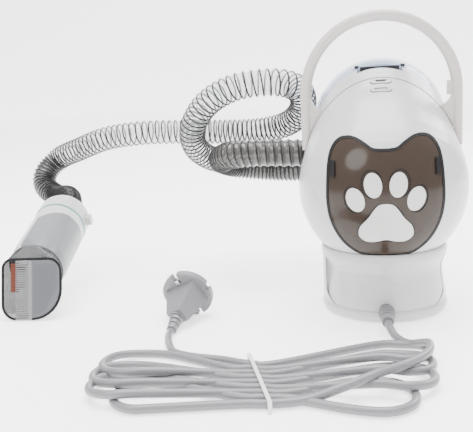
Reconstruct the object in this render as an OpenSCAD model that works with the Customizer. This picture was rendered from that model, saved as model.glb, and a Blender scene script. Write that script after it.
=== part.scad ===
// Pet grooming vacuum: canister, base, suction hose, clipper handpiece and mains cord.
// Units are millimetres. +Z is up, the window faces -Y, the origin is under the base's centre.

/* [Canister] */
// Radius of the front ball of the canister
ball_r = 81.5; // [81.2:0.1:82]
// Height of the ball's centre above the floor
ball_z = 123; // [122.5:0.5:123.5]
// Wall thickness of the white shells
wall = 2.5; // [2.3:0.1:2.6]
// How far the paw pads stand out of the window
pad_proud = 0.8; // [0.4:0.1:1.2]

/* [Handle] */
// Diameter of the arch handle's tube
handle_d = 11; // [10:0.5:11.5]
// Height of the arch's centre
handle_z = 212.5; // [211:0.5:214]

/* [Buttons] */
// How far each button stands out of the shell
button_proud = 1; // [0.6:0.1:1.2]
// Length of a button across the canister
button_length = 19.5; // [18:0.5:20]

/* [Dust cup] */
// Wall thickness of the clear cup
cup_wall = 2.2; // [2:0.1:2.4]
// Number of pleats in the filter
pleats = 24; // [16:1:30]

/* [Cord] */
// Diameter of the mains cord
cord_d = 7; // [6.6:0.1:7]
// Diameter of the plug's pins
pin_d = 4.8; // [4.6:0.1:4.8]

/* [Handpiece] */
// Number of teeth on the fixed comb
comb_teeth = 27; // [21:1:29]
// Height of the fan's blades
fan_blade_h = 12; // [9:1:14]

/* [Output] */
// Which piece to build

/* [Hidden] */

white = [0.95, 0.95, 0.96];
warm_white = [0.94, 0.91, 0.9];
smoke_brown = [0.3, 0.2, 0.13, 0.8];
cup_blue = [0.78, 0.83, 0.92, 0.4];
cord_grey = [0.6, 0.6, 0.62];
dark_grey = [0.2, 0.2, 0.21];
black = [0.05, 0.05, 0.05];
steel = [0.75, 0.76, 0.78];
teal = [0.25, 0.7, 0.65];
copper = [0.55, 0.3, 0.16];
board_green = [0.1, 0.35, 0.2];
smoke_grey = [0.35, 0.36, 0.38, 0.6];

fine = 96;
medium = 48;
fit_gap = 0.4;
big = 260;

// Body: a ball in front, a smaller one up and behind it, and a cone between them.
back_y = 60;
back_z = 178;
back_r = 68;
body_length = norm([back_y, back_z - ball_z]);
body_lean = atan2(back_y, back_z - ball_z);
tangent_angle = asin((ball_r - back_r) / body_length);
arc_step = 5;
seam_y = 10;
ball_cut_z = 52;

// Window and paw outlines, right half, as [x, z].
window_half = [
  [0, 68], [20, 69], [32, 76], [41, 87], [47.5, 102], [50.2, 118], [50, 135], [49, 152],
  [46.5, 164], [41, 172.5], [33.5, 175.3], [25.5, 174], [17, 169], [9.5, 164.5]
];
palm_half = [[0, 84.8], [9, 82.8], [18, 83.2], [24, 89], [22.5, 98], [15.5, 106], [10.5, 113.5], [5, 118.5]];
toe_outer = [26.5, 122.5];
toe_inner = [11, 135.5];
toe_radii = [7.8, 11];
gasket_width = 2.2;
clip_x = 46.5;
clip_z = [142, 156];

// Buttons sit on the sloping top of the front shell.
button_slope = 33.4;
button_origin = [0, -1, 219.2];
button_pitch = 13.5;
button_width = 7;

// Dust cup.
cup_y = 30;
cup_z = 188;
outlet_y = 58;
outlet_r = 16;
inlet_at = [-52, 56];
inlet_r = 9;
latch_half = 19;
latch_z = [228.6, 237];

// Fan and motor on one upright axis.
motor_y = 14;
shaft_r = 2.5;
can_r = 28;
fan_r = 43;
fan_z = [140, 163.4];
plenum_y = 36;
plenum_r = 40.5;

// Hose.
hose_d = 30;
hose_wall = 1.6;
port_at = [0, 44, 152];
port_x = [-63.5, -79];
hose_sides = 12;
hose_steps = 2;
hose_route = [
  [-79, 44, 152], [-102, 43.5, 153], [-130, 41, 154], [-157, 48, 152], [-172, 75, 144], [-160, 99, 135],
  [-125, 108, 129], [-81, 109, 127], [-54, 127, 127], [-51, 156, 128], [-76, 179, 129], [-115, 187, 130],
  [-157, 177, 129], [-190, 151, 134], [-209, 121, 152], [-208, 96, 178], [-186, 76, 206], [-151, 63, 223],
  [-110, 66, 226], [-85, 83, 217], [-83, 111, 196], [-102, 135, 177], [-138, 146, 169], [-186, 152, 169],
  [-238, 152, 171], [-288, 154, 171], [-335, 162, 165], [-375, 172, 152], [-407, 182, 140], [-424, 173, 122],
  [-422, 165, 106], [-403, 156, 95], [-381, 137, 95.5], [-371, 110, 86.6], [-369.1, 87, 79.1]
];

// Handpiece frame: its own +Z runs from the mouth back to the hose.
tool_at = [-359.4, -51.7, 36.6];
tool_yaw = 4;
tool_pitch = 17;
// The mouth's frame is tipped up from the handpiece's own.
mouth_at = [-357.2, -41.5, 31.5];
mouth_pitch = -16;
mouth_half = 31.5;
mouth_corners = [31, 16, 10, 14];
neck_z = 35;
shell_r = 29.2;
collar_r = 30;
shell_end = 123.6;
collar_z = [126, 153];
comb_half = 30.5;
comb_x = [-17, 0.2];
comb_tooth_pitch = 2 * comb_half / comb_teeth;
cover_rib_pitch = 1.7;
drive_x = -8;
cam_offset = 1.2;
tab_turn = -3;
tab_z = 137;
grip_mid = -37;

// Base.
base_r = 61.5;
foot_z = [1, 12];
rim_z = [56, 67];
base_wall = 2.4;
panel_half = 56.5;
panel_round = 15;
gland_z = 13;
screw_angles = [25, 155, 195, 345];
foot_places = [[0, 0], [29.5, 29.5], [-29.5, 29.5], [-29.5, -29.5], [29.5, -29.5]];

// Cord on the floor.
cord_sides = 10;
cord_z = 3.6;
lead_route = [[0, -90, 13], [1.5, -97, 10.5], [5, -105, 6.5], [11, -113, 4.4], [18, -121, 4.3]];
hank_outline = [
  [-246, -178], [-235, -152], [-205, -142], [-160, -149], [-105, -156], [-50, -145], [-5, -121],
  [22, -119], [34, -145], [34, -195], [12, -233], [-30, -251], [-100, -243], [-160, -250],
  [-205, -252], [-237, -235], [-247, -205]
];
hank_z = [1.2, 8.6];
tie_x = -103;
tail_route = [
  [-186, -145, 4.5], [-193, -124, 4.1], [-198.5, -106, 3.6], [-200.4, -92, 3.7], [-200, -88, 4.5]
];
plug_at = [-200, -88, 4.65];
plug_yaw = -6;
plug_pitch = 20;
plug_roll = -25;
plug_disc_r = 25.5;

// ---- Shared shapes ----

function unit(v) = v / norm(v);

function mirrored(half) =
  concat(half, [for (i = [len(half) - 1 : -1 : 0]) if (half[i][0] > 0.01) [-half[i][0], half[i][1]]]);

// Smooth curve value between b and c.
function between(a, b, c, d, t) =
  0.5 * (2 * b + (c - a) * t + (2 * a - 5 * b + 4 * c - d) * t * t + (3 * b - a - 3 * c + d) * t * t * t);

function closed_curve(p, steps) =
  let (n = len(p))
  [for (i = [0 : n - 1]) for (k = [0 : steps - 1])
    between(p[(i + n - 1) % n], p[i], p[(i + 1) % n], p[(i + 2) % n], k / steps)];

function open_curve(p, steps) =
  let (n = len(p))
  concat(
    [for (i = [0 : n - 2]) for (k = [0 : steps - 1])
      between(p[max(i - 1, 0)], p[i], p[i + 1], p[min(i + 2, n - 1)], k / steps)],
    [p[n - 1]]
  );

function tangents(q) =
  [for (i = [0 : len(q) - 1]) unit(q[min(i + 1, len(q) - 1)] - q[max(i - 1, 0)])];

function sides_of(t) =
  [for (i = 0, s = unit(cross(t[0], [0, 0.3, 1])); i < len(t);
    i = i + 1, s = i < len(t) ? unit(s - (s * t[i]) * t[i]) : s) s];

function ellipse_points(r, turn, n) =
  [for (i = [0 : n - 1])
    let (a = i * 360 / n, x = r[0] * cos(a), y = r[1] * sin(a))
    [x * cos(turn) - y * sin(turn), x * sin(turn) + y * cos(turn)]];

// Outline of the handpiece's mouth, with a different radius at each corner.
function mouth(grow, n) =
  [for (q = [0 : 3]) for (i = [0 : n])
    let (a = q * 90 + i * 90 / n, c = mouth_half - mouth_corners[q], r = mouth_corners[q] + grow)
    [(q == 0 || q == 3 ? c : -c) + r * cos(a), (q < 2 ? c : -c) + r * sin(a)]];

// A round tube's outer skin along a route, closed at both ends.
module tube_along(route, r, sides, steps) {
  q = open_curve(route, steps);
  t = tangents(q);
  s = sides_of(t);
  n = len(q);
  ring_points = [for (i = [0 : n - 1]) for (k = [0 : sides - 1])
    let (a = k * 360 / sides)
    q[i] + r * (cos(a) * s[i] + sin(a) * cross(t[i], s[i]))];
  walls = [for (i = [0 : n - 2]) for (k = [0 : sides - 1])
    let (j = (k + 1) % sides)
    each [[i * sides + k, (i + 1) * sides + k, (i + 1) * sides + j],
      [i * sides + k, (i + 1) * sides + j, i * sides + j]]];
  start_cap = [for (k = [0 : sides - 1]) k];
  end_cap = [for (k = [sides - 1 : -1 : 0]) (n - 1) * sides + k];
  polyhedron(points = ring_points, faces = concat(walls, [start_cap, end_cap]), convexity = 8);
}

// The same with a bore through it.
module pipe_along(route, r, bore, sides, steps) {
  q = open_curve(route, steps);
  t = tangents(q);
  s = sides_of(t);
  n = len(q);
  skin = [for (radius = [r, bore]) for (i = [0 : n - 1]) for (k = [0 : sides - 1])
    let (a = k * 360 / sides)
    q[i] + radius * (cos(a) * s[i] + sin(a) * cross(t[i], s[i]))];
  inner = n * sides;
  last = (n - 1) * sides;
  walls = [for (i = [0 : n - 2]) for (k = [0 : sides - 1])
    let (j = (k + 1) % sides, a = i * sides, b = a + sides)
    each [[a + k, b + k, b + j], [a + k, b + j, a + j],
      [inner + a + k, inner + b + j, inner + b + k], [inner + a + k, inner + a + j, inner + b + j]]];
  ends = [for (k = [0 : sides - 1])
    let (j = (k + 1) % sides)
    each [[k, j, inner + j], [k, inner + j, inner + k],
      [last + k, last + inner + j, last + j], [last + k, last + inner + k, last + inner + j]]];
  polyhedron(points = skin, faces = concat(walls, ends), convexity = 8);
}

// Outline of the body of revolution, shrunk by inset.
function body_outline(inset) =
  let (r1 = ball_r - inset, r2 = back_r - inset, a0 = tangent_angle)
  concat(
    [[0, -r1]],
    [for (a = [-90 + arc_step : arc_step : 0]) [r1 * cos(a), r1 * sin(a)]],
    [[r1 * cos(a0), r1 * sin(a0)]],
    [for (a = [a0 : (90 - a0) / 17 : 89]) [r2 * cos(a), body_length + r2 * sin(a)]],
    [[0, body_length + r2]]
  );

module body_solid(inset) {
  translate([0, 0, ball_z])
    rotate([-body_lean, 0, 0])
      rotate_extrude($fn = fine)
        polygon(body_outline(inset));
}

module ring(outer, inner, height) {
  difference() {
    cylinder(r = outer, h = height, $fn = fine);
    translate([0, 0, -1])
      cylinder(r = inner, h = height + 2, $fn = fine);
  }
}

// Space in front of a plane y.
module before(y) {
  translate([-big, y - 2 * big, -big])
    cube([2 * big, 2 * big, 3 * big]);
}

module behind(y) {
  translate([-big, y, -big])
    cube([2 * big, 2 * big, 3 * big]);
}

module below(z) {
  translate([-big, -big, z - 2 * big])
    cube([2 * big, 2 * big, 2 * big]);
}

module above(z) {
  translate([-big, -big, z])
    cube([2 * big, 2 * big, 2 * big]);
}

// A prism along -Y from an outline drawn as [x, z].
module facing(from_y, depth) {
  translate([0, from_y, 0])
    rotate([90, 0, 0])
      linear_extrude(height = depth)
        children();
}

module window_shape(grow) {
  offset(delta = grow)
    polygon(closed_curve(mirrored(window_half), 3));
}

module toe_shapes(grow) {
  r = toe_radii + [grow, grow];
  for (s = [-1, 1]) {
    translate([s * toe_outer[0], toe_outer[1]])
      polygon(ellipse_points(r, s * -20, 32));
    translate([s * toe_inner[0], toe_inner[1]])
      polygon(ellipse_points(r, s * -8, 32));
  }
}

module palm_shape(grow) {
  offset(delta = grow)
    polygon(closed_curve(mirrored(palm_half), 3));
}

module clip_shapes(grow) {
  for (s = [-1, 1])
    translate([s * clip_x - 2 - grow, clip_z[0] - grow])
      square([4 + 2 * grow, clip_z[1] - clip_z[0] + 2 * grow]);
}

module ball_shell(outer, inner) {
  translate([0, 0, ball_z])
    difference() {
      sphere(r = outer, $fn = fine);
      sphere(r = inner, $fn = fine);
    }
}

module at_buttons() {
  translate(button_origin)
    rotate([button_slope, 0, 0])
      children();
}

module stadium(length, width, height) {
  half = (length - width) / 2;
  union() {
    for (s = [-1, 1])
      translate([s * half, 0, 0])
        cylinder(d = width, h = height, $fn = medium);
    translate([-half, -width / 2, 0])
      cube([2 * half, width, height]);
  }
}

module at_tool() {
  translate(tool_at)
    rotate([0, 0, tool_yaw])
      rotate([tool_pitch - 90, 0, 0])
        children();
}

module at_mouth() {
  translate(mouth_at)
    rotate([0, 0, tool_yaw])
      rotate([mouth_pitch - 90, 0, 0])
        children();
}

module at_plug() {
  translate(plug_at)
    rotate([0, 0, plug_yaw])
      rotate([plug_pitch - 90, 0, 0])
        rotate([0, 0, plug_roll])
          children();
}

module along_left(at, x) {
  translate([x[0], at[1], at[2]])
    rotate([0, -90, 0])
      children();
}

// ---- Canister ----

module front_shell() {
  color(white)
  union() {
    difference() {
      body_solid(0);
      body_solid(wall);
      behind(seam_y - fit_gap / 2);
      below(ball_cut_z);
      facing(0, big)
        window_shape(gasket_width + 0.3);
      for (s = [-1, 1])
        at_buttons()
          translate([0, s * button_pitch / 2, -20])
            stadium(button_length + 0.6, button_width + 0.6, 40);
    }
    intersection() {
      body_solid(0.8);
      at_buttons()
        for (x = [-19, 19], y = [-21, 5])
          translate([x, y, -9.4])
            cylinder(r = 2.6, h = 9, $fn = medium);
    }
  }
}

module face_window() {
  color(smoke_brown)
  difference() {
    intersection() {
      ball_shell(ball_r, ball_r - 2.4);
      facing(0, big)
        window_shape(0);
    }
    facing(0, big)
      toe_shapes(0.15);
    facing(0, big)
      palm_shape(0.15);
    facing(0, big)
      clip_shapes(0.15);
  }
}

module window_gasket() {
  color(black)
  intersection() {
    ball_shell(ball_r + 0.4, ball_r - 2.4);
    facing(0, big)
      difference() {
        window_shape(gasket_width);
        window_shape(0.2);
      }
  }
}

module paw_pads() {
  color(white)
  intersection() {
    ball_shell(ball_r + pad_proud, ball_r - 2.4);
    facing(0, big)
      union() {
        toe_shapes(0);
        palm_shape(0);
      }
  }
}

module window_clips() {
  color(black)
  intersection() {
    ball_shell(ball_r + 1.4, ball_r - 2.4);
    facing(0, big)
      clip_shapes(0);
  }
}

// Grilled bulkhead behind the window, with a collar for the sponge.
module face_tray() {
  tray_y = -43.6;
  tray_r = 63;
  color(dark_grey)
  translate([0, tray_y, ball_z])
    rotate([90, 0, 0])
      difference() {
        union() {
          cylinder(r = tray_r, h = 2.4, $fn = fine);
          ring(42, 39, 18);
        }
        for (a = [0 : 30 : 330])
          rotate([0, 0, a])
            for (r = [14, 26])
              translate([r, 0, -1])
                cylinder(r = 3.2, h = 5, $fn = 24);
      }
}

module exhaust_sponge() {
  color(dark_grey)
  translate([0, -46.4, ball_z])
    rotate([90, 0, 0])
      cylinder(r = 38.5, h = 14, $fn = fine);
}

module mid_housing() {
  floor_t = 2.5;
  color(white)
  difference() {
    union() {
      difference() {
        body_solid(0);
        body_solid(wall);
      }
      intersection() {
        body_solid(0.6);
        union() {
          translate([-100, cup_y - floor_t, cup_z - floor_t])
            cube([200, floor_t, 80]);
          translate([-100, cup_y - floor_t, cup_z - floor_t])
            cube([200, 130, floor_t]);
        }
      }
    }
    before(seam_y + fit_gap / 2);
    below(ball_cut_z);
    intersection() {
      behind(cup_y);
      above(cup_z);
    }
    translate([-22, cup_y - 6, 228])
      cube([44, 20, 40]);
    along_left(port_at, [-50, 0])
      cylinder(r = 16.2, h = 60, $fn = fine);
    translate([0, outlet_y, cup_z - 5])
      cylinder(r = outlet_r, h = 10, $fn = fine);
    translate([0, outlet_y, cup_z - 1.6])
      ring(outlet_r + 5, outlet_r + 1.5, 5);
    translate([inlet_at[0], inlet_at[1], cup_z - 5])
      cylinder(r = inlet_r, h = 10, $fn = medium);
    for (s = [-1, 1])
      translate([s * 60, 20, 172])
        rotate([0, 90, 0])
          translate([0, 0, -20])
            cylinder(r = 2.1, h = 40, $fn = 24);
    for (i = [-4 : 4])
      translate([i * 9, 60, 112 - abs(i) * 2])
        rotate([-50, 0, 0])
          translate([-1.8, 0, -12])
            cube([3.6, 90, 24]);
  }
}

module handle() {
  handle_y = 20;
  arch_r = 78.5 - handle_d / 2;
  leg_foot_z = 158;
  color(warm_white)
  difference() {
    union() {
      translate([0, handle_y, handle_z])
        rotate([90, 0, 0])
          rotate_extrude(angle = 180, $fn = fine)
            translate([arch_r, 0])
              circle(d = handle_d, $fn = medium);
      for (s = [-1, 1])
        translate([s * arch_r, handle_y, leg_foot_z])
          cylinder(d = handle_d, h = handle_z - leg_foot_z + 0.01, $fn = medium);
      facing(handle_y + 4, 8)
        for (s = [-1, 1])
          scale([s, 1])
            polygon([[50, leg_foot_z], [arch_r, leg_foot_z], [arch_r, 212], [68.5, 209], [66.5, 204],
              [63.5, 200], [59, 197.5], [50, 197]]);
      translate([arch_r - handle_d / 2 - 4, handle_y - 3, 207])
        cube([6, 6, 13.5]);
    }
    body_solid(-0.25);
    for (s = [-1, 1])
      translate([s * 60, handle_y, 172])
        rotate([0, 90, 0])
          translate([0, 0, s > 0 ? 0 : -16.5])
            cylinder(r = 2.0, h = 16.5, $fn = 24);
  }
}

module handle_screws() {
  color(steel)
  for (s = [-1, 1])
    translate([0, 20, 172])
      rotate([0, s * 90, 0])
        union() {
          translate([0, 0, 64.2])
            cylinder(r = 3.4, h = 2.8, $fn = 24);
          translate([0, 0, 66.9])
            cylinder(r = 1.9, h = 9, $fn = 24);
        }
}

module dust_cup() {
  latch_pocket = 0.4;
  color(cup_blue)
  difference() {
    intersection() {
      body_solid(0);
      behind(cup_y + 0.3);
      above(cup_z + 0.3);
    }
    difference() {
      intersection() {
        body_solid(cup_wall);
        behind(cup_y + 0.3 + cup_wall);
        above(cup_z + 0.3 + cup_wall);
      }
      translate([-26.5, cup_y, 225.5])
        cube([53, 14.5, 30]);
    }
    translate([0, outlet_y, cup_z - 5])
      cylinder(r = outlet_r, h = 10, $fn = fine);
    translate([inlet_at[0], inlet_at[1], cup_z - 5])
      cylinder(r = inlet_r, h = 10, $fn = medium);
    translate([-latch_half - latch_pocket, cup_y - 1, latch_z[0] - latch_pocket])
      cube([2 * (latch_half + latch_pocket), 12, latch_z[1] - latch_z[0] + 2 * latch_pocket]);
    for (s = [-1, 1])
      translate([s * 22.6, 34, 229])
        cylinder(r = 1.4, h = 30, $fn = 24);
    for (s = [-1, 1])
      translate([s * 22.6, 34, 236.2])
        cylinder(r = 2.4, h = 20, $fn = 24);
  }
}

module cup_latch() {
  color(dark_grey)
  union() {
    translate([-latch_half, cup_y + 1, latch_z[0]])
      cube([2 * latch_half, 4, latch_z[1] - latch_z[0]]);
    for (s = [-1, 1])
      translate([s * 10, cup_y + 4.9, (latch_z[0] + latch_z[1]) / 2])
        rotate([-90, 0, 0])
          cylinder(r = 2, h = 1.6, $fn = 24);
  }
}

module latch_screws() {
  color(dark_grey)
  for (s = [-1, 1])
    translate([s * 22.6, 34, 0])
      union() {
        translate([0, 0, 229.2])
          cylinder(r = 1.3, h = 7.1, $fn = 24);
        translate([0, 0, 236.3])
          cylinder(r = 2.2, h = 2.2, $fn = 24);
      }
}

module cup_seal() {
  color(black)
  translate([0, outlet_y, cup_z - 1.6])
    ring(outlet_r + 4.6, outlet_r + 1.9, 1.6);
}

module filter_cage() {
  cage_z = cup_z + 0.3 + cup_wall;
  color(white)
  difference() {
    translate([0, outlet_y, cage_z])
      union() {
        ring(25, 23, 32.4);
        translate([0, 0, 32.4])
          cylinder(r = 25, h = 2, $fn = fine);
        ring(25.3, 18, 1.6);
      }
    for (a = [0 : 30 : 150])
      translate([0, outlet_y, cage_z + 5])
        rotate([0, 0, a])
          translate([-40, -3.6, 0])
            cube([80, 7.2, 24]);
  }
}

module pleated_filter() {
  cage_z = cup_z + 0.3 + cup_wall;
  color([0.93, 0.93, 0.88])
  translate([0, outlet_y, cage_z + 1.7])
    difference() {
      linear_extrude(height = 30.5)
        polygon([for (i = [0 : 2 * pleats - 1])
          let (a = i * 180 / pleats, r = i % 2 == 0 ? 22.5 : 18.5)
          [r * cos(a), r * sin(a)]]);
      translate([0, 0, -1])
        cylinder(r = 15, h = 34, $fn = medium);
    }
}

// Elbow from the hose port up to the cup.
module inlet_duct() {
  duct_top = cup_z - 2.7;
  color(dark_grey)
  difference() {
    union() {
      translate([-62.3, 30.8, 138])
        cube([16, 29, 24]);
      translate([inlet_at[0], inlet_at[1], 161.9])
        cylinder(r = 10.6, h = duct_top - 161.9, $fn = medium);
    }
    translate([-60.5, 32.6, 139.8])
      cube([12.4, 25.4, 20.4]);
    translate([inlet_at[0], inlet_at[1], 150])
      cylinder(r = inlet_r, h = 60, $fn = medium);
    along_left(port_at, [-55, 0])
      cylinder(r = 11, h = 20, $fn = medium);
  }
}

module plenum() {
  color(dark_grey)
  difference() {
    translate([0, plenum_y, fan_z[1] + 0.1])
      cylinder(r = plenum_r, h = cup_z - 2.6 - fan_z[1] - 0.1, $fn = fine);
    translate([0, plenum_y, fan_z[1] + 2])
      cylinder(r = plenum_r - 2, h = 40, $fn = fine);
    translate([0, motor_y, fan_z[1] - 1])
      cylinder(r = 14, h = 10, $fn = medium);
  }
}

module fan_housing() {
  outer = fan_r + 4;
  color(dark_grey)
  translate([0, motor_y, 0])
    difference() {
      union() {
        translate([0, 0, fan_z[0]])
          cylinder(r = outer, h = fan_z[1] - fan_z[0], $fn = fine);
        translate([0, 0, 134.1])
          ring(23, 19, fan_z[0] - 134);
      }
      translate([0, 0, fan_z[0] + 2])
        cylinder(r = outer - 2, h = fan_z[1] - fan_z[0] - 4, $fn = fine);
      translate([0, 0, fan_z[1] - 5])
        cylinder(r = 14, h = 10, $fn = medium);
      translate([0, 0, fan_z[0] - 1])
        cylinder(r = 5, h = 4, $fn = medium);
      for (a = [-60 : 20 : 60])
        rotate([0, 0, a])
          translate([-4, -outer - 5, fan_z[0] + 5])
            cube([8, 15, 13]);
    }
}

module impeller() {
  hub_z = fan_z[0] + 3.6;
  color(white)
  translate([0, motor_y, hub_z])
    difference() {
      union() {
        cylinder(r = fan_r, h = 1.6, $fn = fine);
        cylinder(r = 8, h = 13, $fn = medium);
        for (a = [0 : 40 : 320])
          rotate([0, 0, a])
            translate([9, 0, 1.5])
              rotate([0, 0, -28])
                translate([0, -0.8, 0])
                  cube([31, 1.6, fan_blade_h]);
      }
      translate([0, 0, -1])
        cylinder(r = shaft_r, h = 20, $fn = medium);
    }
}

module motor_shaft() {
  color(steel)
  translate([0, motor_y, 86])
    cylinder(r = shaft_r, h = 71, $fn = medium);
}

module motor_rotor() {
  color(copper)
  translate([0, motor_y, 100])
    difference() {
      union() {
        cylinder(r = 15, h = 24, $fn = medium);
        translate([0, 0, -3])
          cylinder(r = 7, h = 30, $fn = medium);
      }
      translate([0, 0, -5])
        cylinder(r = shaft_r, h = 40, $fn = medium);
    }
}

module motor_can() {
  color(steel)
  translate([0, motor_y, 92])
    difference() {
      cylinder(r = can_r, h = 42, $fn = fine);
      translate([0, 0, 1.5])
        cylinder(r = can_r - 1.3, h = 39, $fn = fine);
      translate([0, 0, -1])
        cylinder(r = shaft_r + 0.05, h = 50, $fn = medium);
    }
}

module motor_mount() {
  color(black)
  translate([0, motor_y, 95])
    ring(can_r + 4, can_r, 10);
}

module chassis() {
  ring_r = can_r + 4;
  deck_z = 58;
  color(dark_grey)
  difference() {
    union() {
      translate([0, 0, deck_z])
        cylinder(r = 44.5, h = 2.5, $fn = fine);
      translate([0, motor_y, 94])
        ring(ring_r + 4, ring_r, 13);
      for (x = [-22, 22], y = [-10, 38])
        translate([x, y, deck_z + 2.4])
          cylinder(r = 3, h = 36, $fn = 24);
    }
    translate([0, motor_y, 93])
      cylinder(r = ring_r, h = 20, $fn = fine);
    for (a = [0 : 45 : 315])
      rotate([0, 0, a])
        translate([22, 0, deck_z - 1])
          cylinder(r = 5, h = 6, $fn = 24);
    before(-43.2);
  }
}

module control_board() {
  color(board_green)
  at_buttons()
    union() {
      translate([-22, -24, -11])
        cube([44, 32, 1.6]);
      for (s = [-1, 1])
        translate([-3, s * button_pitch / 2 - 3, -9.5])
          cube([6, 6, 2.3]);
      translate([-16, -20, -9.5])
        cube([32, 6, 3]);
    }
}

module button_body() {
  stem_low = -5.7;
  difference() {
    union() {
      translate([0, 0, stem_low])
        stadium(button_length, button_width, button_proud - stem_low);
      translate([0, 0, stem_low])
        stadium(button_length + 3, button_width + 2.4, 1);
    }
    translate([0, 0, button_proud - 0.5])
      stadium(button_length - 4, button_width - 3, 2);
  }
}

module power_button() {
  color(white)
  at_buttons()
    translate([0, button_pitch / 2, 0])
      button_body();
}

module mode_button() {
  color(white)
  at_buttons()
    translate([0, -button_pitch / 2, 0])
      button_body();
}

// ---- Hose ----

module hose_port() {
  length = port_x[0] - port_x[1];
  color(dark_grey)
  along_left(port_at, port_x)
    difference() {
      union() {
        cylinder(r = 13, h = length, $fn = fine);
        cylinder(r = 15.9, h = 8, $fn = fine);
      }
      translate([0, 0, -1])
        cylinder(r = 11, h = length + 2, $fn = fine);
    }
}

module hose_cuff() {
  cuff_x = [-71.6, -79];
  color(black)
  along_left(port_at, cuff_x)
    rotate_extrude($fn = fine)
      polygon([[13.1, 0], [15.9, 0], [15.9, 3], [15.3, 3.6], [15.9, 4.2], [15.6, cuff_x[0] - cuff_x[1]],
        [13.1, cuff_x[0] - cuff_x[1]]]);
}

module hose() {
  color([0.5, 0.5, 0.52, 0.6])
  pipe_along(hose_route, hose_d / 2, hose_d / 2 - hose_wall, hose_sides, hose_steps);
}

// ---- Handpiece ----

module hose_collar() {
  length = collar_z[1] - collar_z[0];
  color(white)
  at_tool()
    translate([0, 0, collar_z[0]])
      difference() {
        rotate_extrude($fn = fine)
          polygon([
            [0, 0], [collar_r, 0], [collar_r, length - 6],
            [28.5, length - 2], [24, length], [0, length]
          ]);
        translate([0, 0, -1])
          cylinder(r = 12, h = length + 2, $fn = medium);
        translate([0, 0, length - 7.6])
          cylinder(r = hose_d / 2 + 0.3, h = 10, $fn = medium);
        rotate([0, 0, tab_turn])
          translate([24, -5.3, tab_z - collar_z[0] - 4.4])
            cube([12, 10.6, 8.8]);
      }
}

module teal_ring() {
  color(teal)
  at_tool()
    translate([0, 0, shell_end + 0.6])
      ring(29.4, 26, 1.4);
}

module release_tab() {
  color(warm_white)
  at_tool()
    rotate([0, 0, tab_turn])
      translate([26.6, -5, tab_z - 4.1])
        cube([9.4, 10, 8.2]);
}

// Ring and webs that hold the drive motor in the handpiece.
module motor_cradle() {
  difference() {
    union() {
      translate([drive_x, 0, 0])
        cylinder(r = 15, h = 12, $fn = medium);
      translate([-28, -1, 0])
        cube([56, 2, 12]);
      translate([drive_x - 1, -26.4, 0])
        cube([2, 52.8, 12]);
    }
    translate([drive_x, 0, -1])
      cylinder(r = 13.05, h = 14, $fn = medium);
  }
}

module handpiece_shell() {
  inside = shell_r - 2.5;
  color(white)
  at_tool()
    difference() {
      union() {
        difference() {
          rotate_extrude($fn = fine)
            polygon([
              [0, neck_z], [28.4, neck_z], [shell_r, neck_z + 10],
              [shell_r, shell_end], [0, shell_end]
            ]);
          rotate_extrude($fn = fine)
            polygon([[0, neck_z - 3], [inside, neck_z - 3], [inside, shell_end - 6], [25, shell_end - 2.6],
              [0, shell_end - 2.6]]);
        }
        translate([0, 0, 60])
          motor_cradle();
      }
      translate([0, 0, shell_end - 5])
        cylinder(r = 11, h = 10, $fn = medium);
    }
}

// Outline of the grip seen square on: a long panel with a rounded far end.
grip_outline =
  let (w = 34, top = 109, left_r = 30, right_r = 12)
  concat(
    [[-w, neck_z], [w, neck_z]],
    [for (a = [0 : 10 : 90]) [w - right_r + right_r * cos(a), top - right_r + right_r * sin(a)]],
    [for (a = [90 : 10 : 180]) [-w + left_r + left_r * cos(a), top - left_r + left_r * sin(a)]]
  );

// Wedge of space over the upper right side, where the grey grip lies.
module grip_sector() {
  intersection() {
    rotate([0, 0, grip_mid - 73])
      rotate_extrude(angle = 146, $fn = fine)
        translate([5, neck_z])
          square([45, 80]);
    rotate([0, 0, grip_mid])
      rotate([90, 0, 90])
        linear_extrude(height = 45)
          polygon(grip_outline);
  }
}

module grip_cover() {
  color([0.62, 0.63, 0.65])
  at_tool()
    intersection() {
      rotate_extrude($fn = fine)
        polygon([[28.5, neck_z + 0.1], [29.7, neck_z + 0.1], [shell_r + 1.3, neck_z + 10],
          [shell_r + 1.3, 112], [shell_r + 0.1, 112], [shell_r + 0.1, neck_z + 10]]);
      grip_sector();
    }
}

module tool_motor() {
  color(steel)
  at_tool()
    translate([drive_x, 0, 45])
      difference() {
        cylinder(r = 13, h = 44, $fn = fine);
        translate([0, 0, -1])
          cylinder(r = 1.55, h = 12, $fn = 24);
      }
}

module tool_cam() {
  color(steel)
  at_tool()
    translate([drive_x, 0, 0])
      union() {
        translate([0, 0, 38.9])
          cylinder(r = 1.5, h = 15, $fn = 24);
        translate([0, 0, 33])
          cylinder(r = 5, h = 6, $fn = medium);
        translate([cam_offset, 0, 22])
          cylinder(r = 1.5, h = 11.1, $fn = 24);
      }
}

// The shroud spreads from the round neck to the tilted mouth.
module shroud_form(grow, neck, low, high) {
  hull() {
    at_mouth()
      translate([0, 0, low])
        linear_extrude(height = 0.6)
          polygon(mouth(grow, 6));
    at_tool()
      translate([0, 0, high])
        cylinder(r = neck, h = 0.4, $fn = 32);
  }
}

module nozzle_shroud() {
  color(smoke_grey)
  difference() {
    shroud_form(0, 28.4, 0, neck_z - 0.5);
    shroud_form(-1.8, 26.6, -0.1, neck_z - 0.3);
  }
}

module shroud_rim() {
  color(black)
  at_mouth()
    difference() {
      translate([0, 0, -1.5])
        linear_extrude(height = 1.5)
          difference() {
            polygon(mouth(0.5, 8));
            polygon(mouth(-1.8, 8));
          }
      translate([comb_x[0] - 0.1, 20, -2])
        cube([comb_x[1] - comb_x[0] + 0.2, 20, 3]);
    }
}

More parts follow.
